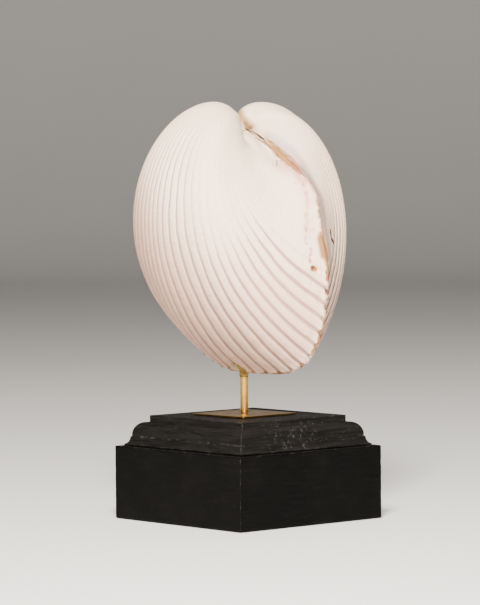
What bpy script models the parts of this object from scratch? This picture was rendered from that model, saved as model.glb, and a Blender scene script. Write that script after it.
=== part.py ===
"""A giant heart cockle shell, both halves closed, held up by a brass rod on a stepped black wooden base.

The base stands on z = 0 with its sides along x and y. The shell's halves meet in an upright plane that
runs nearly along y, with the hinge at the top and the smooth rear slope towards -y.
"""

import math

import bmesh
import bpy
from mathutils import Vector
from mathutils.bvhtree import BVHTree

MM = 0.001

# Wooden base, in millimetres
BLOCK_SIDE = 100.0
BLOCK_HEIGHT = 38.5
BLOCK_EDGE = 0.5
FOOT_SIDE = 93.0
NECK_SIDE = 88.4
SLAB_SIDE = 73.6
MOULDING_HEIGHT = 12.2
COVE_HEIGHT = 4.6
COVE_LIP = 0.8
STEP_WIDTH = 0.6
LEDGE_WIDTH = 1.6
SLAB_THICKNESS = 3.6
COVE_STEPS = 4
SHOULDER_STEPS = 6
TOUCH_GAP = 0.3

# Brass plate and rod
PLATE_SIDE = 39.0
PLATE_THICKNESS = 0.8
PLATE_TURN = 2.0
ROD_DIAMETER = 4.2
ROD_SIDES = 24
ROD_PLACE = (-1.3, 1.1)
ROD_SHARP_ANGLE = 40.0

# Shell pose: where the coil axis of the halves lies
SHELL_PLACE = (-1.4, 0.2, 201.6)
SHELL_DIP = 7.8
SHELL_TURN = 1.8

# Shell growth: each half is its margin, wound up and shrunk about the coil axis.
# The margin is its distance from a middle point every 30 degrees, from the rear end round over the hinge.
MARGIN_RADII = (73, 73, 72, 70, 64, 60, 61, 55, 50, 52, 58, 74)
CORNER_ANGLE = 44.0
CORNER_RISE = 5.0
CORNER_SPREAD = 10.5
CORNER_FADE = 1.0
CREST_ANGLE = 87.5
CREST_RISE = 6.0
CREST_SPREAD = 14.0
MARGIN_MIDDLE = -72.0
COIL_OFFSET = 6.2

# Where the crest's wall begins to lean out, and how far the shell is lifted between the beak and the hinge
CREST_LIMIT = -3.0
CREST_EASE = 2.0
SHELF_LIFT = 4.5
SHELF_ANGLE = 74.0
SHELF_SPREAD = 22.0
SHELF_PEAK = 0.9
SHELF_END = 2.4

# How fast the shell grew, and the shape of the beak
GROWTH_RATE = 0.67
GROWTH_REAR = 0.07
GROWTH_TOP = -0.01
COIL_END = 4.65
TIP_START = 4.1
BEAK_CLEARANCE = 0.25
BEAK_LEAN = 3.5
LEAN_START = 2.2
LEAN_END = 3.4
WALL = 3.4
INNER_RADIUS = 60.0

# Ribs: widths in degrees round the margin every 30 degrees, as for the margin radii
RIB_WIDTHS = (6.4, 6.8, 6.8, 6.8, 6.8, 6.4, 7.0, 8.2, 9.4, 8.2, 9.5, 5.8)
RIB_FIRST = 15.3
RIB_COUNT = 30
RIB_DEPTH = 1.35
RIB_FADE = 16.0
TOOTH = 0.9
HINGE_GAPE = 1.8
HINGE_ANGLE = 65.5
HINGE_SPREAD = 17.0

# Ligament: a cord in the slot behind the beaks, between two angles on the margin
LIGAMENT_START = 77.0
LIGAMENT_END = 55.0
LIGAMENT_STATIONS = 12
LIGAMENT_SIDES = 12
LIGAMENT_CLEARANCE = 0.3
LIGAMENT_TALLNESS = 1.2
LIGAMENT_SINK = 0.5

# Glue bead: a cup round the rod's top with a lobe running up the left half
BEAD_RADIUS = 2.7
BEAD_LOBE = 5.2
BEAD_LOBE_DIRECTION = 195.0
BEAD_LOBE_SHARPNESS = 4
BEAD_SPOKES = 20
BEAD_RINGS = (0.0, 0.35, 0.6, 0.8, 1.0)
BEAD_RIM = 0.35
BEAD_RIM_START = 0.6
BEAD_FOOT_MARGIN = 0.2
BEAD_FITTING_REACH = 0.9
BEAD_CLEARANCE = 0.45
BEAD_THICKNESS = 1.5

# Mesh of a half: rows along the coil, and how many of them keep every column
OUTER_ROWS = 16
OUTER_FINE_ROWS = 8
OUTER_EASE = 1.25
INNER_ROWS = 6
INNER_END = 2.0
PLAIN_COLUMNS = 16
SHELL_SHARP_ANGLE = 35.0


def clear_scene():
    for thing in list(bpy.data.objects):
        bpy.data.objects.remove(thing, do_unlink=True)


def material(name, colour, roughness, metallic=0.0):
    made = bpy.data.materials.new(name)
    made.use_nodes = True
    shader = made.node_tree.nodes["Principled BSDF"]
    shader.inputs["Base Color"].default_value = (*colour, 1.0)
    shader.inputs["Roughness"].default_value = roughness
    shader.inputs["Metallic"].default_value = metallic
    return made


def add_object(name, mesh, paint, parent=None):
    thing = bpy.data.objects.new(name, mesh)
    thing.data.materials.append(paint)
    thing.parent = parent
    bpy.context.collection.objects.link(thing)
    return thing


def mesh_from(name, points, faces):
    """One closed body from points in millimetres, with its faces turned outwards."""
    body = bmesh.new()
    corners = [body.verts.new(Vector(point) * MM) for point in points]
    for face in faces:
        body.faces.new([corners[index] for index in face])
    bmesh.ops.triangulate(body, faces=body.faces[:])
    bmesh.ops.recalc_face_normals(body, faces=body.faces[:])
    if body.calc_volume(signed=True) < 0:
        bmesh.ops.reverse_faces(body, faces=body.faces[:])
    mesh = bpy.data.meshes.new(name)
    body.to_mesh(mesh)
    body.free()
    return mesh


# Wooden base


def plinth_block(paint):
    """The lower square block, with a fine bevel all round."""
    body = bmesh.new()
    bmesh.ops.create_cube(body, size=1.0)
    bmesh.ops.scale(body, verts=body.verts[:], vec=Vector((BLOCK_SIDE, BLOCK_SIDE, BLOCK_HEIGHT)) * MM)
    bmesh.ops.bevel(body, geom=body.edges[:], offset=BLOCK_EDGE * MM, segments=1, affect="EDGES")
    mesh = bpy.data.meshes.new("plinth_block")
    body.to_mesh(mesh)
    body.free()
    block = add_object("plinth_block", mesh, paint)
    block.location.z = BLOCK_HEIGHT / 2 * MM
    return block


def arc(centre, radii, start, stop, steps):
    """Points along an upright elliptic arc, as half side and height."""
    points = []
    for step in range(steps + 1):
        angle = math.radians(start + (stop - start) * step / steps)
        points.append((centre[0] + radii[0] * math.cos(angle), centre[1] + radii[1] * math.sin(angle)))
    return points


def moulding_profile():
    """Half side and height from the foot up: a hollow cove, a thin step, a round shoulder and the slab."""
    foot = FOOT_SIDE / 2
    neck = NECK_SIDE / 2
    slab = SLAB_SIDE / 2
    ledge = slab + LEDGE_WIDTH
    step = neck - STEP_WIDTH
    shoulder_foot = COVE_HEIGHT + STEP_WIDTH
    cove = arc((foot, COVE_HEIGHT), (foot - neck, COVE_HEIGHT - COVE_LIP), 270, 180, COVE_STEPS)
    shoulder_radii = (step - ledge, MOULDING_HEIGHT - shoulder_foot)
    shoulder = arc((ledge, shoulder_foot), shoulder_radii, 0, 90, SHOULDER_STEPS)
    return [
        (foot, 0.0),
        *cove,
        (step, COVE_HEIGHT),
        *shoulder,
        (slab, MOULDING_HEIGHT),
        (slab, MOULDING_HEIGHT + SLAB_THICKNESS),
    ]


def plinth_top(paint):
    """The moulded step: one profile run round a square, closed below and above."""
    profile = moulding_profile()
    points = []
    for half, height in profile:
        for x, y in ((1, 1), (-1, 1), (-1, -1), (1, -1)):
            points.append((half * x, half * y, height))
    faces = [(0, 1, 2, 3)]
    for row in range(len(profile) - 1):
        for side in range(4):
            along = (side + 1) % 4
            faces.append((row * 4 + side, row * 4 + along, (row + 1) * 4 + along, (row + 1) * 4 + side))
    last = (len(profile) - 1) * 4
    faces.append((last, last + 1, last + 2, last + 3))
    top = add_object("plinth_top", mesh_from("plinth_top", points, faces), paint)
    top.location.z = (BLOCK_HEIGHT + TOUCH_GAP) * MM
    return top


def slab_top():
    return BLOCK_HEIGHT + TOUCH_GAP + MOULDING_HEIGHT + SLAB_THICKNESS


# Brass stand


def brass_plate(paint):
    body = bmesh.new()
    bmesh.ops.create_cube(body, size=1.0)
    bmesh.ops.scale(body, verts=body.verts[:], vec=Vector((PLATE_SIDE, PLATE_SIDE, PLATE_THICKNESS)) * MM)
    mesh = bpy.data.meshes.new("brass_plate")
    body.to_mesh(mesh)
    body.free()
    plate = add_object("brass_plate", mesh, paint)
    middle = slab_top() + TOUCH_GAP + PLATE_THICKNESS / 2
    plate.location = Vector((*ROD_PLACE, middle)) * MM
    plate.rotation_euler.z = math.radians(PLATE_TURN)
    return plate


def brass_rod(paint, top):
    bottom = slab_top() + PLATE_THICKNESS + 2 * TOUCH_GAP
    body = bmesh.new()
    radius = ROD_DIAMETER / 2 * MM
    bmesh.ops.create_cone(
        body, cap_ends=True, segments=ROD_SIDES, radius1=radius, radius2=radius, depth=(top - bottom) * MM
    )
    mesh = bpy.data.meshes.new("brass_rod")
    body.to_mesh(mesh)
    body.free()
    mesh.shade_smooth()
    mesh.set_sharp_from_angle(angle=math.radians(ROD_SHARP_ANGLE))
    rod = add_object("brass_rod", mesh, paint)
    rod.location = Vector((*ROD_PLACE, (top + bottom) / 2)) * MM
    return rod


# Shell


def around(values, degrees):
    """A smooth closed curve through values that stand at equal steps round a circle."""
    place = (degrees % 360.0) / 360.0 * len(values)
    index = int(place)
    part = place - index
    before, left, right, after = (values[(index + shift) % len(values)] for shift in (-1, 0, 1, 2))
    slope_left = (right - before) / 2
    slope_right = (after - left) / 2
    rise = right - left
    bend = 3 * rise - 2 * slope_left - slope_right
    twist = slope_left + slope_right - 2 * rise
    return left + part * (slope_left + part * (bend + part * twist))


def smooth(value):
    value = min(max(value, 0.0), 1.0)
    return value * value * (3 - 2 * value)


def swing(degrees):
    """An angle brought to between -180 and 180."""
    return (degrees + 180.0) % 360.0 - 180.0


def margin_point(degrees, share=1.0, groove=0.0, turn=0.0):
    """Along the hinge and up: a point of the margin, drawn in by a share and by a groove's depth.

    The rear corner stood out less in the young shell, so it fades with the turn.
    """
    corner = CORNER_RISE * math.exp(-(swing(degrees - CORNER_ANGLE) / CORNER_SPREAD) ** 2)
    corner *= math.exp(-turn / CORNER_FADE)
    crest = CREST_RISE * math.exp(-(swing(degrees - CREST_ANGLE) / CREST_SPREAD) ** 2)
    radius = (around(MARGIN_RADII, degrees) + corner + crest) * share - groove
    angle = math.radians(degrees)
    return radius * math.cos(angle), MARGIN_MIDDLE + radius * math.sin(angle)


def growth_rate(degrees):
    angle = math.radians(degrees)
    return GROWTH_RATE + GROWTH_REAR * math.cos(angle) + GROWTH_TOP * math.sin(angle)


def held_height(up):
    """The height that sets how far a point swings out: held near a limit, so the crest's wall leans out."""
    excess = up - CREST_LIMIT
    return up - (excess + math.hypot(excess, CREST_EASE)) / 2


def shelf_lift(degrees, turn):
    """How far the shell between the beak and the hinge stands up, so that no trough is left there."""
    hump = smooth(turn / SHELF_PEAK) * smooth((SHELF_END - turn) / (SHELF_END - SHELF_PEAK))
    return SHELF_LIFT * hump * math.exp(-(swing(degrees - SHELF_ANGLE) / SHELF_SPREAD) ** 2)


def wound(point, degrees, turn):
    """A margin point wound up by a turn in radians: along the hinge, out from the meeting plane, up."""
    along, up = point
    scale = math.exp(-growth_rate(degrees) * turn)
    out = COIL_OFFSET - scale * (COIL_OFFSET * math.cos(turn) + held_height(up) * math.sin(turn))
    rise = scale * (up * math.cos(turn) - COIL_OFFSET * math.sin(turn))
    if turn > math.pi:
        out = max(out, BEAK_CLEARANCE)
    lean = BEAK_LEAN * smooth((turn - LEAN_START) / (LEAN_END - LEAN_START))
    return along * scale - lean, out, rise


def rib_edges():
    """Angles of the grooves, from the rear slope down and round to the front slope."""
    edges = [RIB_FIRST]
    for _ in range(RIB_COUNT):
        edges.append(edges[-1] - around(RIB_WIDTHS, edges[-1]))
    return edges


def rib_strength(degrees, edges):
    """How far the ribs stand up: none on the slopes beside the hinge."""
    inside = min(edges[0] - degrees, degrees - edges[-1])
    return smooth(inside / RIB_FADE)


def valve_columns(side):
    """Angle, groove depth and tooth height of each column round a half; side is 1 for left, -1 for right.

    The left half's grooves are at the rib edges, and the right half's are midway between them, so that
    the teeth of one margin fit the hollows of the other.
    """
    edges = rib_edges()
    if side > 0:
        pattern = ((0.0, 1.0), (0.2, 0.1), (0.5, 0.0), (0.8, 0.1))
    else:
        pattern = ((0.0, 0.0), (0.3, 0.1), (0.5, 1.0), (0.7, 0.1))
    columns = []
    for left, right in zip(edges, edges[1:]):
        middle = (left + right) / 2
        low, high, low_after = (TOOTH * rib_strength(angle, edges) for angle in (left, middle, right))
        for part, groove in pattern:
            degrees = left + (right - left) * part
            if part <= 0.5:
                tooth = low - (low + high) * part / 0.5
            else:
                tooth = -high + (low_after + high) * (part - 0.5) / 0.5
            columns.append((degrees, groove * RIB_DEPTH * rib_strength(degrees, edges), tooth * side))
    span = 360.0 - (edges[0] - edges[-1])
    for step in range(PLAIN_COLUMNS):
        columns.append((edges[-1] - span * step / PLAIN_COLUMNS, 0.0, 0.0))
    return columns


def margin_out(degrees, tooth):
    """How far a half's margin stands out from the meeting plane: the teeth, and the ligament's slot."""
    gape = HINGE_GAPE * smooth(1.0 - abs(swing(degrees - HINGE_ANGLE)) / HINGE_SPREAD)
    return TOUCH_GAP / 2 + gape + tooth


def outer_row(columns, turn):
    """A ring of corners on the outside; its section closes to a point at the beak's tip."""
    share = 1.0
    if turn > TIP_START:
        share = math.sqrt(1.0 - ((turn - TIP_START) / (COIL_END - TIP_START)) ** 2)
    ring = []
    for degrees, groove, _ in columns:
        along, out, rise = wound(margin_point(degrees, share, groove, turn), degrees, turn)
        ring.append((along, out, rise + shelf_lift(degrees, turn)))
    return ring


def inner_row(columns, turn):
    """A ring of corners in the hollow, one wall's thickness inside the outer ring."""
    share = 1.0 - WALL / (INNER_RADIUS * math.exp(-GROWTH_RATE * turn))
    return [wound(margin_point(degrees, share, 0.0, turn), degrees, turn) for degrees, _, _ in columns]


def set_on_margin(ring, columns):
    """The ring at the margin, moved out from the meeting plane by its teeth and the gape."""
    return [
        (along, margin_out(degrees, tooth), up)
        for (along, _, up), (degrees, _, tooth) in zip(ring, columns)
    ]


def strip(first, second, count, second_count):
    """Faces between two rings of corners, where the second may have half as many."""
    faces = []
    for index in range(count):
        after = (index + 1) % count
        if count == second_count:
            faces.append((first + index, first + after, second + after, second + index))
        elif index % 2 == 0:
            faces.append((first + index, first + after, second + index // 2))
        else:
            coarse = index // 2
            next_coarse = (coarse + 1) % second_count
            faces.append((first + index, first + after, second + next_coarse))
            faces.append((first + index, second + next_coarse, second + coarse))
    return faces


def valve_rings(columns):
    """Every ring of a half, from the beak's tip over the outside, round the margin and into the hollow."""
    sparse = columns[::2]
    rings = []
    for row in reversed(range(1, OUTER_ROWS)):
        turn = COIL_END * (row / OUTER_ROWS) ** OUTER_EASE
        rings.append(outer_row(columns if row <= OUTER_FINE_ROWS else sparse, turn))
    rings.append(set_on_margin(outer_row(columns, 0.0), columns))
    rings.append(set_on_margin(inner_row(columns, 0.0), columns))
    for row in range(1, INNER_ROWS + 1):
        rings.append(inner_row(sparse, INNER_END * row / INNER_ROWS))
    return rings


def valve_mesh(name, side):
    columns = valve_columns(side)
    rings = valve_rings(columns)
    tip = wound((0.0, MARGIN_MIDDLE), 0.0, COIL_END)
    points = [tip]
    starts = []
    for ring in rings:
        starts.append(len(points))
        points.extend(ring)
    deep_end = [sum(values) / len(rings[-1]) for values in zip(*rings[-1])]
    points.append(deep_end)
    faces = []
    for index in range(len(rings[0])):
        faces.append((0, starts[0] + (index + 1) % len(rings[0]), starts[0] + index))
    for row in range(len(rings) - 1):
        count, following = len(rings[row]), len(rings[row + 1])
        if count >= following:
            faces.extend(strip(starts[row], starts[row + 1], count, following))
        else:
            faces.extend(strip(starts[row + 1], starts[row], following, count))
    last = starts[-1]
    for index in range(len(rings[-1])):
        faces.append((len(points) - 1, last + (index + 1) % len(rings[-1]), last + index))
    placed = [(-side * out, -along, up) for along, out, up in points]
    mesh = mesh_from(name, placed, faces)
    mesh.shade_smooth()
    mesh.set_sharp_from_angle(angle=math.radians(SHELL_SHARP_ANGLE))
    return mesh


def ligament_mesh(name):
    """A horny cord along the hinge: an oval section that fills the slot at each station."""
    points = []
    for station in range(LIGAMENT_STATIONS):
        degrees = LIGAMENT_START + (LIGAMENT_END - LIGAMENT_START) * station / (LIGAMENT_STATIONS - 1)
        along, up = margin_point(degrees)
        half_width = margin_out(degrees, 0.0) - LIGAMENT_CLEARANCE
        half_height = half_width * LIGAMENT_TALLNESS
        for corner in range(LIGAMENT_SIDES):
            angle = 2 * math.pi * corner / LIGAMENT_SIDES
            height = up - LIGAMENT_SINK + half_height * math.sin(angle)
            points.append((half_width * math.cos(angle), -along, height))
    faces = [tuple(range(LIGAMENT_SIDES))]
    for station in range(LIGAMENT_STATIONS - 1):
        start = station * LIGAMENT_SIDES
        faces.extend(strip(start, start + LIGAMENT_SIDES, LIGAMENT_SIDES, LIGAMENT_SIDES))
    faces.append(tuple(range(len(points) - LIGAMENT_SIDES, len(points))))
    mesh = mesh_from(name, points, faces)
    mesh.shade_smooth()
    return mesh


# Glue


def underside_finder(valves):
    """A function giving the lowest shell surface, in millimetres, over a place and just around it."""
    corners, faces = [], []
    for valve in valves:
        start = len(corners)
        corners.extend(valve.matrix_world @ corner.co for corner in valve.data.vertices)
        faces.extend(tuple(start + index for index in face.vertices) for face in valve.data.polygons)
    tree = BVHTree.FromPolygons(corners, faces)

    def lowest(x, y, reach):
        heights = []
        for shift_x, shift_y in ((0, 0), (1, 0), (-1, 0), (0, 1), (0, -1)):
            start = Vector((x + shift_x * reach, y + shift_y * reach, slab_top() + 1.0)) * MM
            hit = tree.ray_cast(start, Vector((0, 0, 1)))[0]
            if hit is not None:
                heights.append(hit.z / MM)
        return min(heights)

    return lowest


def bead_radius(angle):
    """The bead's outline: round, with one long lobe."""
    lobe = max(math.cos(angle - math.radians(BEAD_LOBE_DIRECTION)), 0.0) ** BEAD_LOBE_SHARPNESS
    return BEAD_RADIUS + BEAD_LOBE * lobe


def bead_underside(share, radius, top, foot):
    """Height of the bead's underside: flat over the rod, then rising to a thin rim under the shell."""
    if radius <= ROD_DIAMETER / 2 + BEAD_FOOT_MARGIN:
        return foot
    rim = top - BEAD_RIM
    return rim - (rim - foot) * (1.0 - smooth((share - BEAD_RIM_START) / (1.0 - BEAD_RIM_START)))


def glue_bead(paint, lowest, rod_top):
    """Flat on the rod's top, fitted to the shell above, and thinned out to a rim."""
    centre_x, centre_y = ROD_PLACE
    upper, lower = [], []
    for share in BEAD_RINGS:
        spokes = 1 if share == 0.0 else BEAD_SPOKES
        for spoke in range(spokes):
            angle = 2 * math.pi * spoke / BEAD_SPOKES
            radius = share * bead_radius(angle)
            x = centre_x + radius * math.cos(angle)
            y = centre_y + radius * math.sin(angle)
            top = lowest(x, y, BEAD_FITTING_REACH) - BEAD_CLEARANCE
            upper.append((x, y, top))
            lower.append((x, y, bead_underside(share, radius, top, rod_top + TOUCH_GAP)))
    count = len(upper)
    faces = []
    for start in (0, count):
        for spoke in range(BEAD_SPOKES):
            after = (spoke + 1) % BEAD_SPOKES
            faces.append((start, start + 1 + spoke, start + 1 + after))
        for ring in range(len(BEAD_RINGS) - 2):
            inner = start + 1 + ring * BEAD_SPOKES
            faces.extend(strip(inner, inner + BEAD_SPOKES, BEAD_SPOKES, BEAD_SPOKES))
    faces.extend(strip(count - BEAD_SPOKES, 2 * count - BEAD_SPOKES, BEAD_SPOKES, BEAD_SPOKES))
    mesh = mesh_from("glue_bead", upper + lower, faces)
    mesh.shade_smooth()
    return add_object("glue_bead", mesh, paint)


def build():
    clear_scene()
    black_wood = material("black_wood", (0.012, 0.011, 0.010), 0.45)
    brass = material("brass", (0.72, 0.48, 0.20), 0.30, metallic=1.0)
    horn = material("horn", (0.30, 0.16, 0.07), 0.50)
    glue = material("glue", (0.55, 0.33, 0.09), 0.30)
    shell_white = material("shell_white", (0.80, 0.73, 0.66), 0.50)

    plinth_block(black_wood)
    plinth_top(black_wood)
    brass_plate(brass)

    pose = bpy.data.objects.new("shell_pose", None)
    bpy.context.collection.objects.link(pose)
    pose.location = Vector(SHELL_PLACE) * MM
    pose.rotation_euler = (math.radians(SHELL_DIP), 0.0, math.radians(SHELL_TURN))
    valves = [
        add_object(name, valve_mesh(name, side), shell_white, pose)
        for name, side in (("left_valve", 1), ("right_valve", -1))
    ]
    add_object("ligament", ligament_mesh("ligament"), horn, pose)
    bpy.context.view_layer.update()

    lowest = underside_finder(valves)
    rod_top = lowest(*ROD_PLACE, ROD_DIAMETER / 2) - BEAD_THICKNESS
    brass_rod(brass, rod_top)
    glue_bead(glue, lowest, rod_top)


build()
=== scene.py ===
"""A giant heart cockle shell on its brass stand and stepped black base, on a pale floor in soft light.

Lengths in the constants are millimetres and angles are degrees. The shell is drawn from the same growth
curve as the solids: each half is its margin, wound up and shrunk about a coil axis behind the hinge.
"""

import math

import bmesh
import bpy
import numpy as np
from mathutils import Euler, Matrix, Vector
from mathutils.bvhtree import BVHTree


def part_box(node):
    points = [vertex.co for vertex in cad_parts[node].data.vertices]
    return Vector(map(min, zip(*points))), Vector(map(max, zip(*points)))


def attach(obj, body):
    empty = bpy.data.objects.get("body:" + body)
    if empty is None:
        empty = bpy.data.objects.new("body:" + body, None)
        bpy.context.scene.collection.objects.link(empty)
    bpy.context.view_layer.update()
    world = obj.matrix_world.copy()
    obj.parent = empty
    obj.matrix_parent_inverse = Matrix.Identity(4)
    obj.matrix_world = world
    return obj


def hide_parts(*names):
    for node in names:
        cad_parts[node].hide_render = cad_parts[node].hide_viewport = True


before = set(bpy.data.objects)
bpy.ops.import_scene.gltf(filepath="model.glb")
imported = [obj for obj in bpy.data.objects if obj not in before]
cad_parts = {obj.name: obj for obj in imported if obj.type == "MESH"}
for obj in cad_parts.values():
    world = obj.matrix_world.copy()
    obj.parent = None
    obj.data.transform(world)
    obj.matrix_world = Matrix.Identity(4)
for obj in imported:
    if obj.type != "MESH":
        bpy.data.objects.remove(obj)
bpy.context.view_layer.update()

MM = 0.001

# The photograph's camera, in the base's frame
IMAGE_HEIGHT = 605
CAMERA_AZIMUTH = 41.7
CAMERA_DISTANCE = 1800.0
CAMERA_HEIGHT = 197.2
CAMERA_SIDE = -3.6
CAMERA_DIP = 2.64
CAMERA_ROLL = -0.41
FOCAL_PIXELS = 3409.0
SENSOR = 36.0

# Wooden base, as in the solids
BLOCK_SIDE = 100.0
BLOCK_HEIGHT = 38.5
FOOT_SIDE = 93.0
NECK_SIDE = 88.4
SLAB_SIDE = 73.6
MOULDING_HEIGHT = 12.2
COVE_HEIGHT = 4.6
COVE_LIP = 0.8
STEP_WIDTH = 0.6
LEDGE_WIDTH = 1.6
SLAB_THICKNESS = 3.6
TOUCH_GAP = 0.3

# Brass stand, as in the solids
PLATE_SIDE = 39.0
PLATE_THICKNESS = 0.8
PLATE_TURN = 2.0
ROD_RADIUS = 2.1
ROD_PLACE = (-1.3, 1.1)

# Rounding and wear of wood and brass, in the fine pieces only
WOOD_ROUNDING = 0.6
WOOD_WEAR = 0.30
MOULDING_ROUNDING = 0.3
CHIP_DEPTH = 0.18
TOP_RING = 8.0
PLATE_ROUNDING = 0.14
PLATE_WEAR = 0.02
PLATE_WAVE = 0.03
ROD_END = ((0.0, 1.85), (0.02, 2.0), (0.12, ROD_RADIUS))
EDGE_FAR = 9.0

# Shell pose and growth, as in the solids
SHELL_PLACE = (-1.4, 0.2, 201.6)
SHELL_DIP = 7.8
SHELL_TURN = 1.8
MARGIN_RADII = (73, 73, 72, 70, 64, 60, 61, 55, 50, 52, 58, 74)
CORNER_ANGLE = 44.0
CORNER_RISE = 5.0
CORNER_SPREAD = 10.5
CORNER_FADE = 1.0
CREST_ANGLE = 87.5
CREST_RISE = 6.0
CREST_SPREAD = 14.0
MARGIN_MIDDLE = -72.0
COIL_OFFSET = 6.2
GROWTH_RATE = 0.67
GROWTH_REAR = 0.07
GROWTH_TOP = -0.01
COIL_END = 4.65
TIP_START = 4.1
CREST_LIMIT = -3.0
CREST_EASE = 2.0
SHELF_LIFT = 4.5
SHELF_ANGLE = 74.0
SHELF_SPREAD = 22.0
SHELF_PEAK = 0.9
SHELF_END = 2.4
BEAK_CLEARANCE = 0.2
BEAK_LEAN = 3.5
LEAN_START = 2.2
LEAN_END = 3.4
WALL = 3.4
INNER_RADIUS = 60.0
INNER_END = 2.0

# Ribs and margin, as in the solids
RIB_WIDTHS = (6.4, 6.8, 6.8, 6.8, 6.8, 6.4, 7.0, 8.2, 9.4, 8.2, 9.5, 5.8)
RIB_FIRST = 15.3
RIB_COUNT = 30
RIB_DEPTH = 1.7
RIB_FADE = 16.0
TOOTH = 0.9
TOOTH_REACH = 0.03
MARGIN_GAP = 0.15
HINGE_GAPE = 1.8
HINGE_REACH = 0.20
HINGE_ANGLE = 65.5
HINGE_SPREAD = 17.0

# Fine relief of a half
SKIN_INSET = 0.15
FRONT_GAPE = 0.30
FRONT_GAPE_ANGLE = 84.0
FRONT_GAPE_SPREAD = 16.0
MARGIN_ROUNDING = 0.35
MARGIN_ROUNDING_REACH = 0.005
REAR_VALLEY = 0.8
REAR_VALLEY_REACH = 0.022
REAR_ANGLE = 30.0
REAR_SPREAD = 42.0
GROWTH_HALTS = (
    (0.045, 0.22), (0.10, 0.30), (0.185, 0.45), (0.30, 0.25), (0.47, 0.26), (0.72, 0.16), (1.05, 0.12),
)
HALT_WOBBLE = 0.010
HALT_REACH = 0.035
HALT_LIP = 0.004
REAR_FOLD = 0.135
REAR_FOLD_WOBBLE = 0.008
REAR_FOLD_DROP = 0.30
REAR_FOLD_ANGLE = 32.0
REAR_FOLD_SPREAD = 26.0
REAR_FOLD_LIP = 0.006
REAR_FOLD_REACH = 0.09
YOUNG_WEAR = ((0.30, 0.25, 0.7), (0.55, 1.3, 1.2))
REAR_WEAR = {1: 0.85, -1: 0.35}
REAR_WEAR_RIBS = (13.0, 7.0)
REAR_WEAR_TURNS = (0.33, 0.75)
GROOVE_CORE = 0.80
GROOVE_SLOPE = 0.20
GROOVE_FLOOR = 0.02
GROOVE_WALL = 0.21
RIB_SWAY = 0.08
SWAY_START = 0.06
RELIEF_START = 0.02
WANDER = 0.14
SCALE_RELIEF = 0.50
SCALE_REACH = 0.45
SCALE_PITCH = 0.085
RIM_TURN = -0.03
HOLLOW_TURN = -1.0

# Fine mesh of a half
COLUMNS_PER_RIB = 12
PLAIN_COLUMNS = 64
MARGIN_TURNS = (0.0, 0.003, 0.007, 0.012, 0.018)
OUTER_ROWS = 182
OUTER_EASE = 1.12
INNER_ROWS = 18

# Ligament
LIGAMENT_START = 78.0
LIGAMENT_END = 52.0
LIGAMENT_TALLNESS = 1.1
LIGAMENT_SINK = 0.55
LIGAMENT_CLEARANCE = 0.1

# Glue bead
BEAD_RADIUS = 2.7
BEAD_LOBE = 5.2
BEAD_LOBE_DIRECTION = 195.0
BEAD_LOBE_SHARPNESS = 4
BEAD_RIM = 0.12
BEAD_CLEARANCE = 0.06
BEAD_COLLAR = 0.5
BEAD_RIPPLE = 0.12
BEAD_PROBE = 0.15
BEAD_SHOULDER = 0.25
BEAD_CURVE = 0.45
PROBE_HEIGHT = 60.0


# Small helpers


def smooth(value):
    value = np.clip(value, 0.0, 1.0)
    return value * value * (3 - 2 * value)


def around(values, degrees):
    """A smooth closed curve through values that stand at equal steps round a circle."""
    values = np.asarray(values, float)
    place = np.mod(degrees, 360.0) / 360.0 * len(values)
    index = np.floor(place).astype(int)
    part = place - index
    before, left, right, after = (values[(index + shift) % len(values)] for shift in (-1, 0, 1, 2))
    slope_left = (right - before) / 2
    slope_right = (after - left) / 2
    rise = right - left
    bend = 3 * rise - 2 * slope_left - slope_right
    twist = slope_left + slope_right - 2 * rise
    return left + part * (slope_left + part * (bend + part * twist))


def swing(degrees):
    """An angle brought to between -180 and 180."""
    return np.mod(degrees + 180.0, 360.0) - 180.0


def window(degrees, middle, spread):
    """1 at a middle angle, falling softly to 0 at a spread on either side."""
    return smooth(1.0 - np.abs(swing(degrees - middle)) / spread)


def ripple(seed, *coordinates):
    """A repeatable soft noise between about -1 and 1, from sines of the given coordinates."""
    phases = np.random.default_rng(seed).uniform(0, 2 * math.pi, (4, len(coordinates)))
    total = 0.0
    weight = 1.0
    for octave in range(4):
        wave = 1.0
        for axis, coordinate in enumerate(coordinates):
            wave = wave * np.sin(coordinate * (1.7 ** octave) + phases[octave, axis] + 1.3 * total)
        total = total + weight * wave
        weight *= 0.6
    return total / 1.6


def add_piece(node, points, faces, paint, attributes=None):
    """A fine piece from points in millimetres; attributes are one number for each point.

    It rides on the one body, hides its plain node and takes its finish from a slot.
    """
    name = "fine_" + node
    mesh = bpy.data.meshes.new(name)
    mesh.from_pydata([tuple(point) for point in np.asarray(points) * MM], [], faces)
    for label, numbers in (attributes or {}).items():
        layer = mesh.attributes.new(label, "FLOAT", "POINT")
        layer.data.foreach_set("value", np.asarray(numbers, dtype=np.float32))
    mesh.update()
    body = bmesh.new()
    body.from_mesh(mesh)
    bmesh.ops.recalc_face_normals(body, faces=body.faces[:])
    if body.calc_volume(signed=True) < 0:
        bmesh.ops.reverse_faces(body, faces=body.faces[:])
    body.to_mesh(mesh)
    body.free()
    mesh.materials.append(paint)
    mesh.shade_smooth()
    thing = bpy.data.objects.new(name, mesh)
    bpy.context.collection.objects.link(thing)
    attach(thing, "root")
    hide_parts(node)
    return thing


def ring_faces(ring_count, columns, first=0):
    """Four-sided faces between closed rings of points that follow one another."""
    faces = []
    for row in range(ring_count - 1):
        start = first + row * columns
        for column in range(columns):
            after = (column + 1) % columns
            faces.append((start + column, start + after, start + columns + after, start + columns + column))
    return faces


def closed_tube(rings):
    """Points and faces of a tube through rings of points, closed flat at both ends."""
    count = len(rings[0])
    faces = ring_faces(len(rings), count)
    faces.append(tuple(range(count)))
    faces.append(tuple(range((len(rings) - 1) * count, len(rings) * count)))
    return np.concatenate(rings), faces


# Node helpers for the materials


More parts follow.
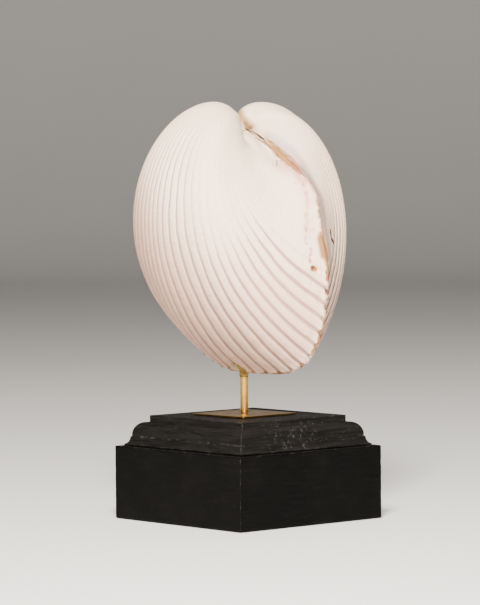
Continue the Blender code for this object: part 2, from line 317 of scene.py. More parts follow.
class Paint:
    """A material's node tree. Its colour is built up in coats, and its relief in bumps."""

    def __init__(self, name, colour, roughness=0.5, metallic=0.0):
        self.material = bpy.data.materials.new(name)
        self.material.use_nodes = True
        self.tree = self.material.node_tree
        self.shader = self.tree.nodes["Principled BSDF"]
        self.shader.inputs["Roughness"].default_value = roughness
        self.shader.inputs["Metallic"].default_value = metallic
        self.place = self.add("ShaderNodeTexCoord").outputs["Object"]
        self.base = colour
        self.normal = None

    def add(self, kind, sockets=None, **settings):
        """A new node with its settings, and its sockets filled or joined by name or number."""
        node = self.tree.nodes.new(kind)
        for key, value in settings.items():
            setattr(node, key, value)
        for key, value in (sockets or {}).items():
            self.plug(node.inputs[key], value)
        return node

    def plug(self, socket, value):
        if isinstance(value, bpy.types.NodeSocket):
            self.tree.links.new(value, socket)
        elif isinstance(value, tuple) and socket.type == "RGBA":
            socket.default_value = (*value, 1.0)
        else:
            socket.default_value = value

    def math(self, operation, first, second):
        return self.add("ShaderNodeMath", {0: first, 1: second}, operation=operation).outputs[0]

    def times(self, *values):
        product = values[0]
        for value in values[1:]:
            product = self.math("MULTIPLY", product, value)
        return product

    def vector_math(self, operation, first, second, output="Vector"):
        node = self.add("ShaderNodeVectorMath", {0: first, 1: second}, operation=operation)
        return node.outputs[output]

    def attribute(self, name):
        return self.add("ShaderNodeAttribute", attribute_name=name).outputs["Fac"]

    def combine(self, x, y, z=0.0):
        return self.add("ShaderNodeCombineXYZ", {0: x, 1: y, 2: z}).outputs[0]

    def height(self):
        return self.add("ShaderNodeSeparateXYZ", {0: self.place}).outputs["Z"]

    def scaled(self, vector, scale):
        return self.vector_math("MULTIPLY", vector, scale)

    def noise(self, vector, scale, detail, roughness=0.55, distortion=0.0):
        names = ("Vector", "Scale", "Detail", "Roughness", "Distortion")
        sockets = dict(zip(names, (vector, scale, detail, roughness, distortion)))
        return self.add("ShaderNodeTexNoise", sockets).outputs["Fac"]

    def grey(self, value, low, high, dark, light, interpolation="LINEAR"):
        """A number carried from between low and high to between dark and light."""
        sockets = {"Value": value, "From Min": low, "From Max": high, "To Min": dark, "To Max": light}
        return self.add("ShaderNodeMapRange", sockets, interpolation_type=interpolation).outputs["Result"]

    def between(self, value, low, high):
        """0 at low and 1 at high, eased in between and held outside; low may be above high."""
        limits = (low, high, 0.0, 1.0) if low < high else (high, low, 1.0, 0.0)
        return self.grey(value, *limits, "SMOOTHSTEP")

    def mix(self, factor, first, second):
        node = self.add("ShaderNodeMix", data_type="RGBA", clamp_factor=True)
        self.plug(node.inputs[0], factor)
        colours = [socket for socket in node.inputs if socket.type == "RGBA"]
        self.plug(colours[0], first)
        self.plug(colours[1], second)
        return next(socket for socket in node.outputs if socket.type == "RGBA")

    def bump(self, height, strength, distance):
        """Adds relief, of a depth in millimetres, to what is there already."""
        node = self.add("ShaderNodeBump", {"Strength": strength, "Distance": distance * MM, "Height": height})
        if self.normal is not None:
            self.plug(node.inputs["Normal"], self.normal)
        self.normal = node.outputs[0]

    def near(self, point, radius, soft):
        """1 at a point of the object in millimetres, falling to 0 at a radius."""
        centre = tuple(value * MM for value in point)
        away = self.vector_math("DISTANCE", self.place, centre, output="Value")
        return self.between(away, radius * MM, radius * MM * (1.0 - soft))

    def stroke(self, start, end, radius, soft):
        """1 along the line between two points of the object in millimetres, falling to 0 at a radius."""
        start = Vector(start) * MM
        reach = Vector(end) * MM - start
        offset = self.vector_math("SUBTRACT", self.place, tuple(start))
        along = self.vector_math("DOT_PRODUCT", offset, tuple(reach / reach.length_squared), output="Value")
        along = self.math("MINIMUM", self.math("MAXIMUM", along, 0.0), 1.0)
        spot = self.add("ShaderNodeVectorMath", {0: tuple(reach), "Scale": along}, operation="SCALE")
        away = self.vector_math("DISTANCE", offset, spot.outputs["Vector"], output="Value")
        return self.between(away, radius * MM, radius * MM * (1.0 - soft))

    def coat(self, colour, *masks):
        """Lays a colour over the base, as far as the product of the masks lets it."""
        self.base = self.mix(self.times(*masks), self.base, colour)

    def draw(self, path, radius, colour, *strength, soft=0.7):
        """Lays a colour along a line through points of the object, in millimetres."""
        spread = None
        for start, end in zip(path, path[1:]):
            reach = self.stroke(start, end, radius, soft)
            spread = reach if spread is None else self.math("MAXIMUM", spread, reach)
        self.coat(colour, spread, self.times(*strength))

    def finish(self, roughness=None, **levels):
        """The material, its coats and bumps joined to the shader."""
        inputs = self.shader.inputs
        self.plug(inputs["Base Color"], self.base)
        if roughness is not None:
            self.plug(inputs["Roughness"], roughness)
        if self.normal is not None:
            self.plug(inputs["Normal"], self.normal)
        for name, value in levels.items():
            inputs[name.replace("_", " ")].default_value = value
        return self.material


# Shell geometry


def shell_matrix():
    turn = Euler((math.radians(SHELL_DIP), 0.0, math.radians(SHELL_TURN))).to_matrix().to_4x4()
    return Matrix.Translation(Vector(SHELL_PLACE)) @ turn


def to_frame(points, side=1):
    """Points along the hinge, out of the meeting plane and up, taken into the base's frame."""
    points = np.asarray(points)
    local = np.stack([-side * points[..., 1], -points[..., 0], points[..., 2]], axis=-1)
    matrix = np.array(shell_matrix())
    return local @ matrix[:3, :3].T + matrix[:3, 3]


def margin_point(degrees, share=1.0, groove=0.0, turn=0.0):
    """The margin as it was a turn ago, when its rear corner stood out less: along the hinge, and up."""
    corner = CORNER_RISE * np.exp(-(swing(degrees - CORNER_ANGLE) / CORNER_SPREAD) ** 2)
    corner = corner * math.exp(-turn / CORNER_FADE)
    crest = CREST_RISE * np.exp(-(swing(degrees - CREST_ANGLE) / CREST_SPREAD) ** 2)
    radius = (around(MARGIN_RADII, degrees) + corner + crest) * share - groove
    angle = np.radians(degrees)
    return radius * np.cos(angle), MARGIN_MIDDLE + radius * np.sin(angle)


def held_height(up):
    """The height that sets how far a point swings out: held near a limit, so the crest's wall leans out."""
    excess = up - CREST_LIMIT
    return up - (excess + np.hypot(excess, CREST_EASE)) / 2


def wound(along, up, degrees, turn):
    """Margin points wound up by a turn in radians: along the hinge, out from the meeting plane, up."""
    angle = np.radians(degrees)
    rate = GROWTH_RATE + GROWTH_REAR * np.cos(angle) + GROWTH_TOP * np.sin(angle)
    scale = np.exp(-rate * turn)
    out = COIL_OFFSET - scale * (COIL_OFFSET * np.cos(turn) + held_height(up) * np.sin(turn))
    rise = scale * (up * np.cos(turn) - COIL_OFFSET * np.sin(turn))
    out = np.where(turn > math.pi, np.maximum(out, BEAK_CLEARANCE), out)
    lean = BEAK_LEAN * smooth((turn - LEAN_START) / (LEAN_END - LEAN_START))
    return np.stack([along * scale - lean, out, rise], axis=-1)


def shelf_lift(degrees, turn):
    """How far the shell between the beak and the hinge stands up, so that no trough is left there."""
    hump = smooth(turn / SHELF_PEAK) * smooth((SHELF_END - turn) / (SHELF_END - SHELF_PEAK))
    return SHELF_LIFT * hump * np.exp(-(swing(degrees - SHELF_ANGLE) / SHELF_SPREAD) ** 2)


def margin_slot(degrees):
    """How far the margin stands from the meeting plane, teeth left aside: widest beside the ligament."""
    front = FRONT_GAPE * window(degrees, FRONT_GAPE_ANGLE, FRONT_GAPE_SPREAD)
    return MARGIN_GAP + front + HINGE_GAPE * window(degrees, HINGE_ANGLE, HINGE_SPREAD)


def seam_path(side, first, last, steps=6):
    """Points of the base's frame along a half's margin, between two angles."""
    degrees = np.linspace(first, last, steps)
    inset = SKIN_INSET + MARGIN_ROUNDING + REAR_VALLEY * window(degrees, REAR_ANGLE, REAR_SPREAD)
    along, up = margin_point(degrees, 1.0, inset)
    points = to_frame(np.stack([along, margin_slot(degrees), up], axis=-1), side)
    return [tuple(point) for point in points]


def rib_edges():
    """Angles at which the ribs begin, from the rear round to the front."""
    edges = [RIB_FIRST]
    for _ in range(RIB_COUNT):
        edges.append(edges[-1] - float(around(RIB_WIDTHS, edges[-1])))
    return np.array(edges)


RIB_EDGES = rib_edges()


def rib_strength(degrees):
    """1 over the ribbed part of the margin, fading to 0 at both of its ends."""
    inside = np.minimum(RIB_EDGES[0] - degrees, degrees - RIB_EDGES[-1])
    return smooth(inside / RIB_FADE)


def column_angles():
    """Angles of the fine columns, and where each lies in ribs counted from the rear."""
    ribs = np.arange(RIB_COUNT * COLUMNS_PER_RIB) / COLUMNS_PER_RIB
    index = ribs.astype(int)
    part = ribs - index
    ribbed = RIB_EDGES[index] + (RIB_EDGES[index + 1] - RIB_EDGES[index]) * part
    span = 360.0 - (RIB_EDGES[0] - RIB_EDGES[-1])
    plain = RIB_EDGES[-1] - span * np.arange(PLAIN_COLUMNS) / PLAIN_COLUMNS
    return np.concatenate([ribbed, plain]), np.concatenate([ribs, np.full(PLAIN_COLUMNS, float(RIB_COUNT))])


def rib_profile(ribs, side):
    """Groove depth across the ribs, from 0 on a rib's broad top to 1 in a groove's floor."""
    phase = ribs if side > 0 else ribs - 0.5
    away = np.abs(phase - np.round(phase))
    core = 1.0 - smooth((away - GROOVE_FLOOR) / GROOVE_WALL)
    return GROOVE_CORE * core + GROOVE_SLOPE * (1.0 - smooth(away / 0.5))


def rib_age(ribs, turn, side):
    """How much of the ribs' relief is left at a turn; the young shell, and its rear first, is worn smooth."""
    worn = sum(share * smooth((turn - start) / reach) for share, start, reach in YOUNG_WEAR)
    rear = smooth((REAR_WEAR_RIBS[0] - ribs) / REAR_WEAR_RIBS[1])
    rear = rear * smooth((turn - REAR_WEAR_TURNS[0]) / REAR_WEAR_TURNS[1])
    return (1.0 - worn) * (1.0 - REAR_WEAR[side] * rear)


def halt_relief(turn, degrees, side):
    """Low steps where growth stopped for a while: the younger shell starts again slightly lower."""
    relief = np.zeros_like(degrees)
    for number, (place, drop) in enumerate(GROWTH_HALTS):
        wobble = HALT_WOBBLE * ripple(40 + number * 2 + side, degrees / 14.0) * math.sqrt(place / 0.1)
        ahead = place + wobble - turn
        patchy = 0.55 + 0.45 * ripple(70 + number + side, degrees / 23.0)
        relief += drop * patchy * smooth(ahead / HALT_LIP) * np.exp(-np.maximum(ahead, 0.0) / HALT_REACH)
    return relief


def fold_relief(turn, degrees):
    """The low fold that runs beside the rear margin, from the hinge's end down to the toothed edge."""
    place = REAR_FOLD + REAR_FOLD_WOBBLE * ripple(61, degrees / 9.0)
    ahead = place - turn
    drop = REAR_FOLD_DROP * window(degrees, REAR_FOLD_ANGLE, REAR_FOLD_SPREAD)
    return drop * smooth(ahead / REAR_FOLD_LIP) * np.exp(-np.maximum(ahead, 0.0) / REAR_FOLD_REACH)


def scale_relief(turn, ribs, side):
    """Uneven low scales across the ribs, strongest on the last years' growth."""
    grown = math.exp(-turn / SCALE_REACH)
    waves = ripple(90 + side, ribs * 2.3, np.full_like(ribs, turn * 2 * math.pi / SCALE_PITCH))
    return SCALE_RELIEF * grown * (0.5 + 0.5 * np.clip(waves, -1.0, 1.0))


def valve_points(side):
    """Rings of points from the beak's tip over the outside, round the margin and into the hollow."""
    degrees, ribs = column_angles()
    ribbed = np.arange(len(degrees)) < RIB_COUNT * COLUMNS_PER_RIB
    strength = np.where(ribbed, rib_strength(degrees), 0.0)
    tooth = TOOTH * side * strength * (np.cos(2 * math.pi * ribs) + np.cos(6 * math.pi * ribs) / 9) / 1.11
    hinge = HINGE_GAPE * window(degrees, HINGE_ANGLE, HINGE_SPREAD)
    front = FRONT_GAPE * window(degrees, FRONT_GAPE_ANGLE, FRONT_GAPE_SPREAD)
    margin_out = MARGIN_GAP + front + tooth
    rear = window(degrees, REAR_ANGLE, REAR_SPREAD)
    seam_along, seam_up = margin_point(degrees)

    turns = list(MARGIN_TURNS)
    last = turns[-1]
    turns += [last + (COIL_END - last) * (row / OUTER_ROWS) ** OUTER_EASE for row in range(1, OUTER_ROWS)]
    turns.reverse()
    rings, grooves = [], []
    for turn in turns:
        share = 1.0
        if turn > TIP_START:
            share = math.sqrt(1.0 - ((turn - TIP_START) / (COIL_END - TIP_START)) ** 2)
        fade = rib_age(ribs, turn, side)
        sway = RIB_SWAY * ripple(13 + side, ribs * 0.7, np.full_like(ribs, turn * 11.0))
        groove = rib_profile(ribs + sway * min(1.0, turn / SWAY_START), side)
        wander = WANDER * ripple(11 + side, degrees / 19.0, np.full_like(degrees, turn * 2.3))
        depth = RIB_DEPTH * groove * strength * fade
        edge = MARGIN_ROUNDING * math.exp(-turn / MARGIN_ROUNDING_REACH)
        valley = REAR_VALLEY * rear * math.exp(-turn / REAR_VALLEY_REACH)
        relief = np.abs(wander) + halt_relief(turn, degrees, side) * (0.12 + 0.88 * strength)
        relief += scale_relief(turn, ribs, side) * strength + fold_relief(turn, degrees)
        skin = SKIN_INSET * math.exp(GROWTH_RATE * min(turn, TIP_START))
        inset = depth + relief * min(1.0, turn / RELIEF_START) + edge + valley + skin
        along, up = margin_point(degrees, share, inset, turn)
        ring = wound(along, up, degrees, turn)
        ring[:, 2] += shelf_lift(degrees, turn)
        ring[:, 1] += margin_out * math.exp(-turn / TOOTH_REACH) + hinge * math.exp(-turn / HINGE_REACH)
        rings.append(ring)
        grooves.append(groove * strength * fade)
    along, up = margin_point(degrees, 1.0 - WALL / INNER_RADIUS)
    rim = wound(along, up, degrees, 0.0)
    rim[:, 1] = margin_out + hinge
    rings.append(rim)
    for row in range(1, INNER_ROWS + 1):
        turn = INNER_END * row / INNER_ROWS
        share = 1.0 - WALL / (INNER_RADIUS * math.exp(-GROWTH_RATE * turn))
        along, up = margin_point(degrees, share, 0.0, turn)
        rings.append(wound(along, up, degrees, turn))
    grooves += [np.zeros_like(degrees)] * (1 + INNER_ROWS)
    turns += [RIM_TURN] + [HOLLOW_TURN] * INNER_ROWS
    facts = {
        "groove": np.concatenate(grooves),
        "turn": np.repeat(turns, len(degrees)),
        "seam_along": np.tile(seam_along, len(rings)),
        "seam_up": np.tile(seam_up, len(rings)),
    }
    return rings, facts


def make_valve(node, side, paint):
    """One half of the shell, closed at the beak's tip and at the deep end of the hollow."""
    rings, facts = valve_points(side)
    columns = len(rings[0])
    tip = rings[0].mean(axis=0, keepdims=True)
    deep = rings[-1].mean(axis=0, keepdims=True)
    points = np.concatenate([*rings, tip, deep])
    tip_index = len(points) - 2
    faces = ring_faces(len(rings), columns)
    last = (len(rings) - 1) * columns
    for column in range(columns):
        after = (column + 1) % columns
        faces.append((tip_index, after, column))
        faces.append((tip_index + 1, last + column, last + after))
    for label in facts:
        facts[label] = np.concatenate([facts[label], facts[label][:1], facts[label][-1:]])
    return add_piece(node, to_frame(points, side), faces, paint, facts)


def make_ligament(paint):
    """The horny cord in the slot behind the beaks, dried and cracked across."""
    stations, sides = 90, 28
    turn = np.linspace(0, 2 * math.pi, sides, endpoint=False)
    rings, fibres, places = [], [], []
    for station in range(stations):
        part = station / (stations - 1)
        degrees = LIGAMENT_START + (LIGAMENT_END - LIGAMENT_START) * part
        along, up = margin_point(np.array([degrees]))
        slot = float(margin_slot(degrees))
        ends = math.sqrt(max(1.0 - abs(2 * part - 1) ** 6, 0.02))
        half_width = (slot - LIGAMENT_CLEARANCE) * ends
        half_height = slot * LIGAMENT_TALLNESS * ends
        crack = 0.10 * max(0.0, float(ripple(5, np.array([part * 46.0]))[0])) ** 2
        rough = 1.0 - crack - 0.05 * np.abs(ripple(6, turn * 3.0, np.full(sides, part * 30.0)))
        rings.append(np.stack([
            np.full(sides, along[0]),
            half_width * rough * np.cos(turn),
            up[0] - LIGAMENT_SINK + half_height * rough * np.sin(turn),
        ], axis=-1))
        fibres.append(np.cos(turn) * 3.0)
        places.append(np.full(sides, part))
    points, faces = closed_tube(rings)
    facts = {"fibre": np.concatenate(fibres), "part": np.concatenate(places)}
    add_piece("ligament", to_frame(points), faces, paint, facts)


# Glue


def underside_finder(valves):
    """A function giving the lowest shell surface, in millimetres, over a place and just around it."""
    corners, faces = [], []
    for valve in valves:
        start = len(corners)
        corners.extend(corner.co.copy() for corner in valve.data.vertices)
        faces.extend(tuple(start + index for index in face.vertices) for face in valve.data.polygons)
    tree = BVHTree.FromPolygons(corners, faces)

    def lowest(x, y, reach):
        heights = []
        for shift_x, shift_y in ((0, 0), (1, 0), (-1, 0), (0, 1), (0, -1)):
            start = Vector((x + shift_x * reach, y + shift_y * reach, PROBE_HEIGHT)) * MM
            hit = tree.ray_cast(start, Vector((0, 0, 1)))[0]
            if hit is not None:
                heights.append(hit.z / MM)
        return min(heights)

    return lowest


def make_glue(valves, rod_top, paint):
    """Amber glue between the rod's top and the shell, with a lobe that has crept up the left half."""
    lowest = underside_finder(valves)
    spokes, steps = 72, 16
    upper, lower = [], []
    for step in range(steps + 1):
        share = step / steps
        for spoke in range(spokes if step else 1):
            angle = 2 * math.pi * spoke / spokes
            lobe = max(math.cos(angle - math.radians(BEAD_LOBE_DIRECTION)), 0.0) ** BEAD_LOBE_SHARPNESS
            outline = BEAD_RADIUS + BEAD_LOBE * lobe
            outline += BEAD_RIPPLE * math.sin(5 * angle + 1.0) * math.sin(3 * angle)
            radius = share * outline
            x = ROD_PLACE[0] + radius * math.cos(angle)
            y = ROD_PLACE[1] + radius * math.sin(angle)
            top = lowest(x, y, BEAD_PROBE) - BEAD_CLEARANCE
            rim = top - BEAD_RIM
            foot = rod_top - BEAD_COLLAR
            reach = max(0.0, radius - ROD_RADIUS - BEAD_SHOULDER)
            reach /= max(outline - ROD_RADIUS - BEAD_SHOULDER, 0.1)
            bottom = foot + (rim - foot) * min(1.0, reach) ** BEAD_CURVE
            upper.append((x, y, top))
            lower.append((x, y, min(bottom, rim)))
    count = len(upper)
    faces = []
    for start in (0, count):
        for spoke in range(spokes):
            faces.append((start, start + 1 + spoke, start + 1 + (spoke + 1) % spokes))
        faces.extend(ring_faces(steps, spokes, start + 1))
    edge = count - spokes
    for spoke in range(spokes):
        after = (spoke + 1) % spokes
        faces.append((edge + spoke, edge + after, count + edge + after, count + edge + spoke))
    add_piece("glue_bead", upper + lower, faces, paint)


# Brass stand


def eased_line(half, rounding, inner_steps, edge_steps=4):
    """Places across a face from edge to edge, close together near both edges."""
    edge = [half - rounding * step / edge_steps for step in range(edge_steps + 1)]
    flat = half - rounding
    inner = [flat * (1 - 2 * step / inner_steps) for step in range(1, inner_steps)]
    line = edge + inner + [-value for value in reversed(edge)]
    return np.array(line)


def rounded_box(size, rounding, steps, seed, wear, flatness=0.0):
    """Points, faces and edge distances of a box with rounded, slightly worn edges."""
    half = np.array(size) / 2
    lines = [eased_line(half[axis], rounding, steps[axis]) for axis in range(3)]
    points, faces, found = [], [], {}

    def index_of(point):
        key = tuple(np.round(point, 4))
        if key not in found:
            found[key] = len(points)
            points.append(point)
        return found[key]

    for axis in range(3):
        first, second = [other for other in range(3) if other != axis]
        for sign in (-1, 1):
            grid = []
            for value in lines[first]:
                row = []
                for other in lines[second]:
                    point = np.zeros(3)
                    point[axis], point[first], point[second] = sign * half[axis], value, other
                    row.append(index_of(point))
                grid.append(row)
            for i in range(len(grid) - 1):
                for j in range(len(grid[0]) - 1):
                    faces.append((grid[i][j], grid[i + 1][j], grid[i + 1][j + 1], grid[i][j + 1]))
    points = np.array(points)
    depth = np.sort(half - np.abs(points), axis=1)[:, 1]
    core = np.clip(points, -(half - rounding), half - rounding)
    offset = points - core
    length = np.maximum(np.linalg.norm(offset, axis=1, keepdims=True), 1e-9)
    worn = wear * np.maximum(0.0, ripple(seed, points[:, 0] / 3.1, points[:, 1] / 2.7, points[:, 2] / 2.3))
    reach = rounding - worn[:, None] * np.exp(-depth[:, None] / rounding)
    rounded = core + offset / length * reach
    if flatness:
        wave = flatness * (0.5 + 0.5 * ripple(seed + 1, points[:, 0] / 6.0, points[:, 1] / 7.0))
        rounded[:, 2] -= np.sign(points[:, 2]) * wave * smooth(depth / 2.0)
    return rounded, faces, depth


def make_plate(paint):
    """The thin plate under the rod, slightly turned on the base."""
    size = (PLATE_SIDE, PLATE_SIDE, PLATE_THICKNESS)
    points, faces, depth = rounded_box(size, PLATE_ROUNDING, (40, 40, 3), 21, PLATE_WEAR, PLATE_WAVE)
    turn = np.array(Matrix.Rotation(math.radians(PLATE_TURN), 3, "Z"))
    low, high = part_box("brass_plate")
    middle = (Vector(low) + Vector(high)) / 2 / MM
    add_piece("brass_plate", points @ turn.T + np.array(middle), faces, paint, {"edge": depth})


def make_rod(paint):
    """The upright, bevelled at both ends. Gives the height of its top."""
    low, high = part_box("brass_rod")
    bottom, top = low[2] / MM, high[2] / MM
    sides = 64
    turn = np.linspace(0, 2 * math.pi, sides, endpoint=False)
    levels = [(bottom + rise, radius) for rise, radius in ROD_END]
    for step in range(1, 24):
        levels.append((bottom + (top - bottom) * step / 24, ROD_RADIUS - 0.01 * (step % 2)))
    levels += [(top - rise, radius) for rise, radius in reversed(ROD_END)]
    rings = []
    for height, radius in levels:
        x = ROD_PLACE[0] + radius * np.cos(turn)
        y = ROD_PLACE[1] + radius * np.sin(turn)
        rings.append(np.stack([x, y, np.full(sides, height)], axis=-1))
    points, faces = closed_tube(rings)
    add_piece("brass_rod", points, faces, paint, {"edge": np.full(len(points), EDGE_FAR)})
    return top


# Wooden base


def make_block(paint):
    """The lower square block."""
    size = (BLOCK_SIDE, BLOCK_SIDE, BLOCK_HEIGHT)
    points, faces, depth = rounded_box(size, WOOD_ROUNDING, (90, 90, 40), 31, WOOD_WEAR)
    points[:, 2] += BLOCK_HEIGHT / 2
    add_piece("plinth_block", points, faces, paint, {"edge": depth})


def arc(centre, radii, start, stop, steps):
    """Points along an ellipse between two angles."""
    angles = np.radians(np.linspace(start, stop, steps + 1))
    return [(centre[0] + radii[0] * math.cos(a), centre[1] + radii[1] * math.sin(a)) for a in angles]


def moulding_profile():
    """Half side, height and distance from the nearest arris, from the foot up to the slab's top."""
    foot = FOOT_SIDE / 2
    neck = NECK_SIDE / 2
    slab = SLAB_SIDE / 2
    ledge = slab + LEDGE_WIDTH
    step = neck - STEP_WIDTH
    shoulder_foot = COVE_HEIGHT + STEP_WIDTH
    top = MOULDING_HEIGHT + SLAB_THICKNESS
    cove = arc((foot, COVE_HEIGHT), (foot - neck, COVE_HEIGHT - COVE_LIP), 270, 180, 14)
    shoulder = arc((ledge, shoulder_foot), (step - ledge, MOULDING_HEIGHT - shoulder_foot), 0, 90, 22)
    upper = [(slab, MOULDING_HEIGHT), (slab, top), (slab - TOP_RING, top)]
    corners = [(foot, 0.0), *cove, (step, COVE_HEIGHT), *shoulder, *upper]
    sharp = {0, 1, len(cove), len(cove) + 1, len(cove) + 2, len(corners) - 2}
    profile = []
    for number, corner in enumerate(corners[:-1]):
        here = Vector(corner)
        if number not in sharp or number == 0:
            profile.append((*corner, 0.0 if number == 0 else 2.0))
            continue
        before = Vector(corners[number - 1]) - here
        after = Vector(corners[number + 1]) - here
        reach = min(MOULDING_ROUNDING, 0.45 * before.length, 0.45 * after.length)
        first = here + before.normalized() * reach
        last = here + after.normalized() * reach
        for part in (0.0, 0.5, 1.0):
            spot = first * (1 - part) ** 2 + here * 2 * part * (1 - part) + last * part ** 2
            profile.append((*spot, 0.0 if part == 0.5 else 0.25))
        if after.length > 2.0:
            profile.append((*(here + after.normalized()), 1.0))
    profile.append((*corners[-1], TOP_RING))
    return profile


def square_path(half, rounding, steps=84):
    """Points round a square with slightly rounded corners, and each one's distance from a corner."""
    line = eased_line(half, rounding, steps, 3)
    path, away = [], []
    for turn in range(4):
        cosine, sine = math.cos(math.pi / 2 * turn), math.sin(math.pi / 2 * turn)
        for value in line[:-1]:
            x, y = half, -value
            core_x, core_y = half - rounding, max(-(half - rounding), min(half - rounding, y))
            offset_x, offset_y = x - core_x, y - core_y
            length = math.hypot(offset_x, offset_y)
            x, y = core_x + offset_x / length * rounding, core_y + offset_y / length * rounding
            path.append((x * cosine - y * sine, x * sine + y * cosine))
            away.append(half - abs(value))
    return np.array(path), np.array(away)


def make_moulding(paint):
    """The moulded upper step with its square slab, chipped a little along the arrises."""
    rings, depths = [], []
    base = BLOCK_HEIGHT + TOUCH_GAP
    for half, height, arris in moulding_profile():
        path, away = square_path(half, MOULDING_ROUNDING)
        chips = CHIP_DEPTH * np.maximum(0.0, ripple(51, path[:, 0] / 2.9, path[:, 1] / 3.3 + height))
        chips *= math.exp(-arris / MOULDING_ROUNDING) * (height > 0.5)
        path = path * (1.0 - chips / half)[:, None]
        rings.append(np.column_stack([path, np.full(len(path), base + height)]))
        depths.append(np.minimum(away, arris))
    points, faces = closed_tube(rings)
    add_piece("plinth_top", points, faces, paint, {"edge": np.concatenate(depths)})


# Materials


def shell_base(name):
    """Ivory shell, pinker low down, with growth lines across the ribs, and painted shade low down, on the
    lower left and in the grooves.

    Gives the paint, its roughness and two blotchy strengths for marks: a broken one and a fuller one.
    """
    paint = Paint(name, (0.86, 0.66, 0.48))
    turn = paint.attribute("turn")
    groove = paint.attribute("groove")
    seam = paint.combine(paint.attribute("seam_along"), paint.attribute("seam_up"), paint.times(turn, 60.0))
    cloud = paint.noise(paint.place, 24.0, 3.0)
    paint.coat((0.89, 0.71, 0.55), paint.grey(cloud, 0.35, 0.65, 0.0, 1.0))
    # Pinker and darker towards the bottom: partly the shell's own tint, partly painted shade where a high
    # light falls off.
    paint.coat((0.76, 0.48, 0.355), paint.between(paint.height(), 0.165, 0.092), 0.90)
    streak = paint.noise(paint.scaled(seam, (0.28, 0.28, 0.012)), 1.0, 4.0, 0.6)
    paint.coat((0.79, 0.50, 0.38), paint.between(streak, 0.50, 0.78), 0.45)
    lines = paint.noise(paint.scaled(seam, (0.035, 0.035, 2.6)), 1.0, 5.0, 0.7)
    paint.coat((0.55, 0.35, 0.25), paint.between(lines, 0.50, 0.72), 0.38)
    low = paint.between(paint.height(), 0.135, 0.100)
    paint.coat((0.60, 0.38, 0.36), paint.between(streak, 0.44, 0.60), low, 0.40)
    # Painted shade: darker towards the lower left.
    painted_shade_flank = paint.vector_math("DOT_PRODUCT", paint.place, (-0.747, 0.665, -0.5), "Value")
    paint.coat((0.48, 0.28, 0.20), paint.between(painted_shade_flank, -0.052, -0.018), 0.75)
    # Painted shade in the grooves, patchy.
    patchy_groove_shade = paint.grey(cloud, 0.3, 0.7, 0.75, 1.0)
    paint.coat((0.34, 0.205, 0.165), paint.between(groove, 0.16, 0.76), patchy_groove_shade)
    pits = paint.noise(paint.place, 700.0, 3.0, 0.6)
    paint.coat((0.52, 0.35, 0.25), paint.between(pits, 0.66, 0.74), 0.20)
    paint.coat((0.90, 0.78, 0.66), paint.between(turn, 0.05, 0.0), paint.between(groove, 0.5, 0.0), 0.5)
    paint.bump(lines, 0.70, 0.30)
    paint.bump(streak, 0.40, 0.30)
    paint.bump(paint.noise(paint.scaled(seam, (0.11, 0.11, 0.55)), 1.0, 4.0, 0.6), 0.60, 0.9)
    paint.bump(paint.noise(paint.place, 1500.0, 4.0, 0.65), 0.20, 0.08)
    rough = paint.grey(cloud, 0.3, 0.7, 0.46, 0.60)
    blotch = paint.noise(paint.place, 420.0, 3.0, 0.6)
    broken, solid = (paint.grey(blotch, 0.38, 0.60, least, 1.0) for least in (0.25, 0.65))
    return paint, rough, broken, solid


def hinge_part(paint):
    """1 on the growth that starts from the hinge's stretch of the margin, 0 elsewhere."""
    return paint.between(paint.attribute("seam_up"), -17.5, -14.5)


def seam_stain_and_gap_shade(paint):
    """Tan along the very edge where the halves meet, painted shade in the gap before the ligament, and the
    rear marks.
    """
    turn = paint.attribute("turn")
    along = paint.attribute("seam_along")
    patch = paint.between(paint.noise(paint.place, 150.0, 3.0, 0.6), 0.40, 0.56)
    paint.coat((0.27, 0.14, 0.065), paint.between(turn, 0.018, 0.003), patch)
    tan = paint.mix(patch, (0.48, 0.32, 0.21), (0.22, 0.12, 0.06))
    paint.coat(tan, paint.between(turn, -0.0001, -0.0025))
    # Painted shade: near black where the gap before the ligament lies in shade.
    slot = paint.times(hinge_part(paint), paint.between(along, -8.0, 0.0), paint.between(along, 22.0, 17.0))
    paint.coat((0.028, 0.016, 0.010), slot, paint.between(turn, 0.075, 0.030))
    seam_marks(paint)


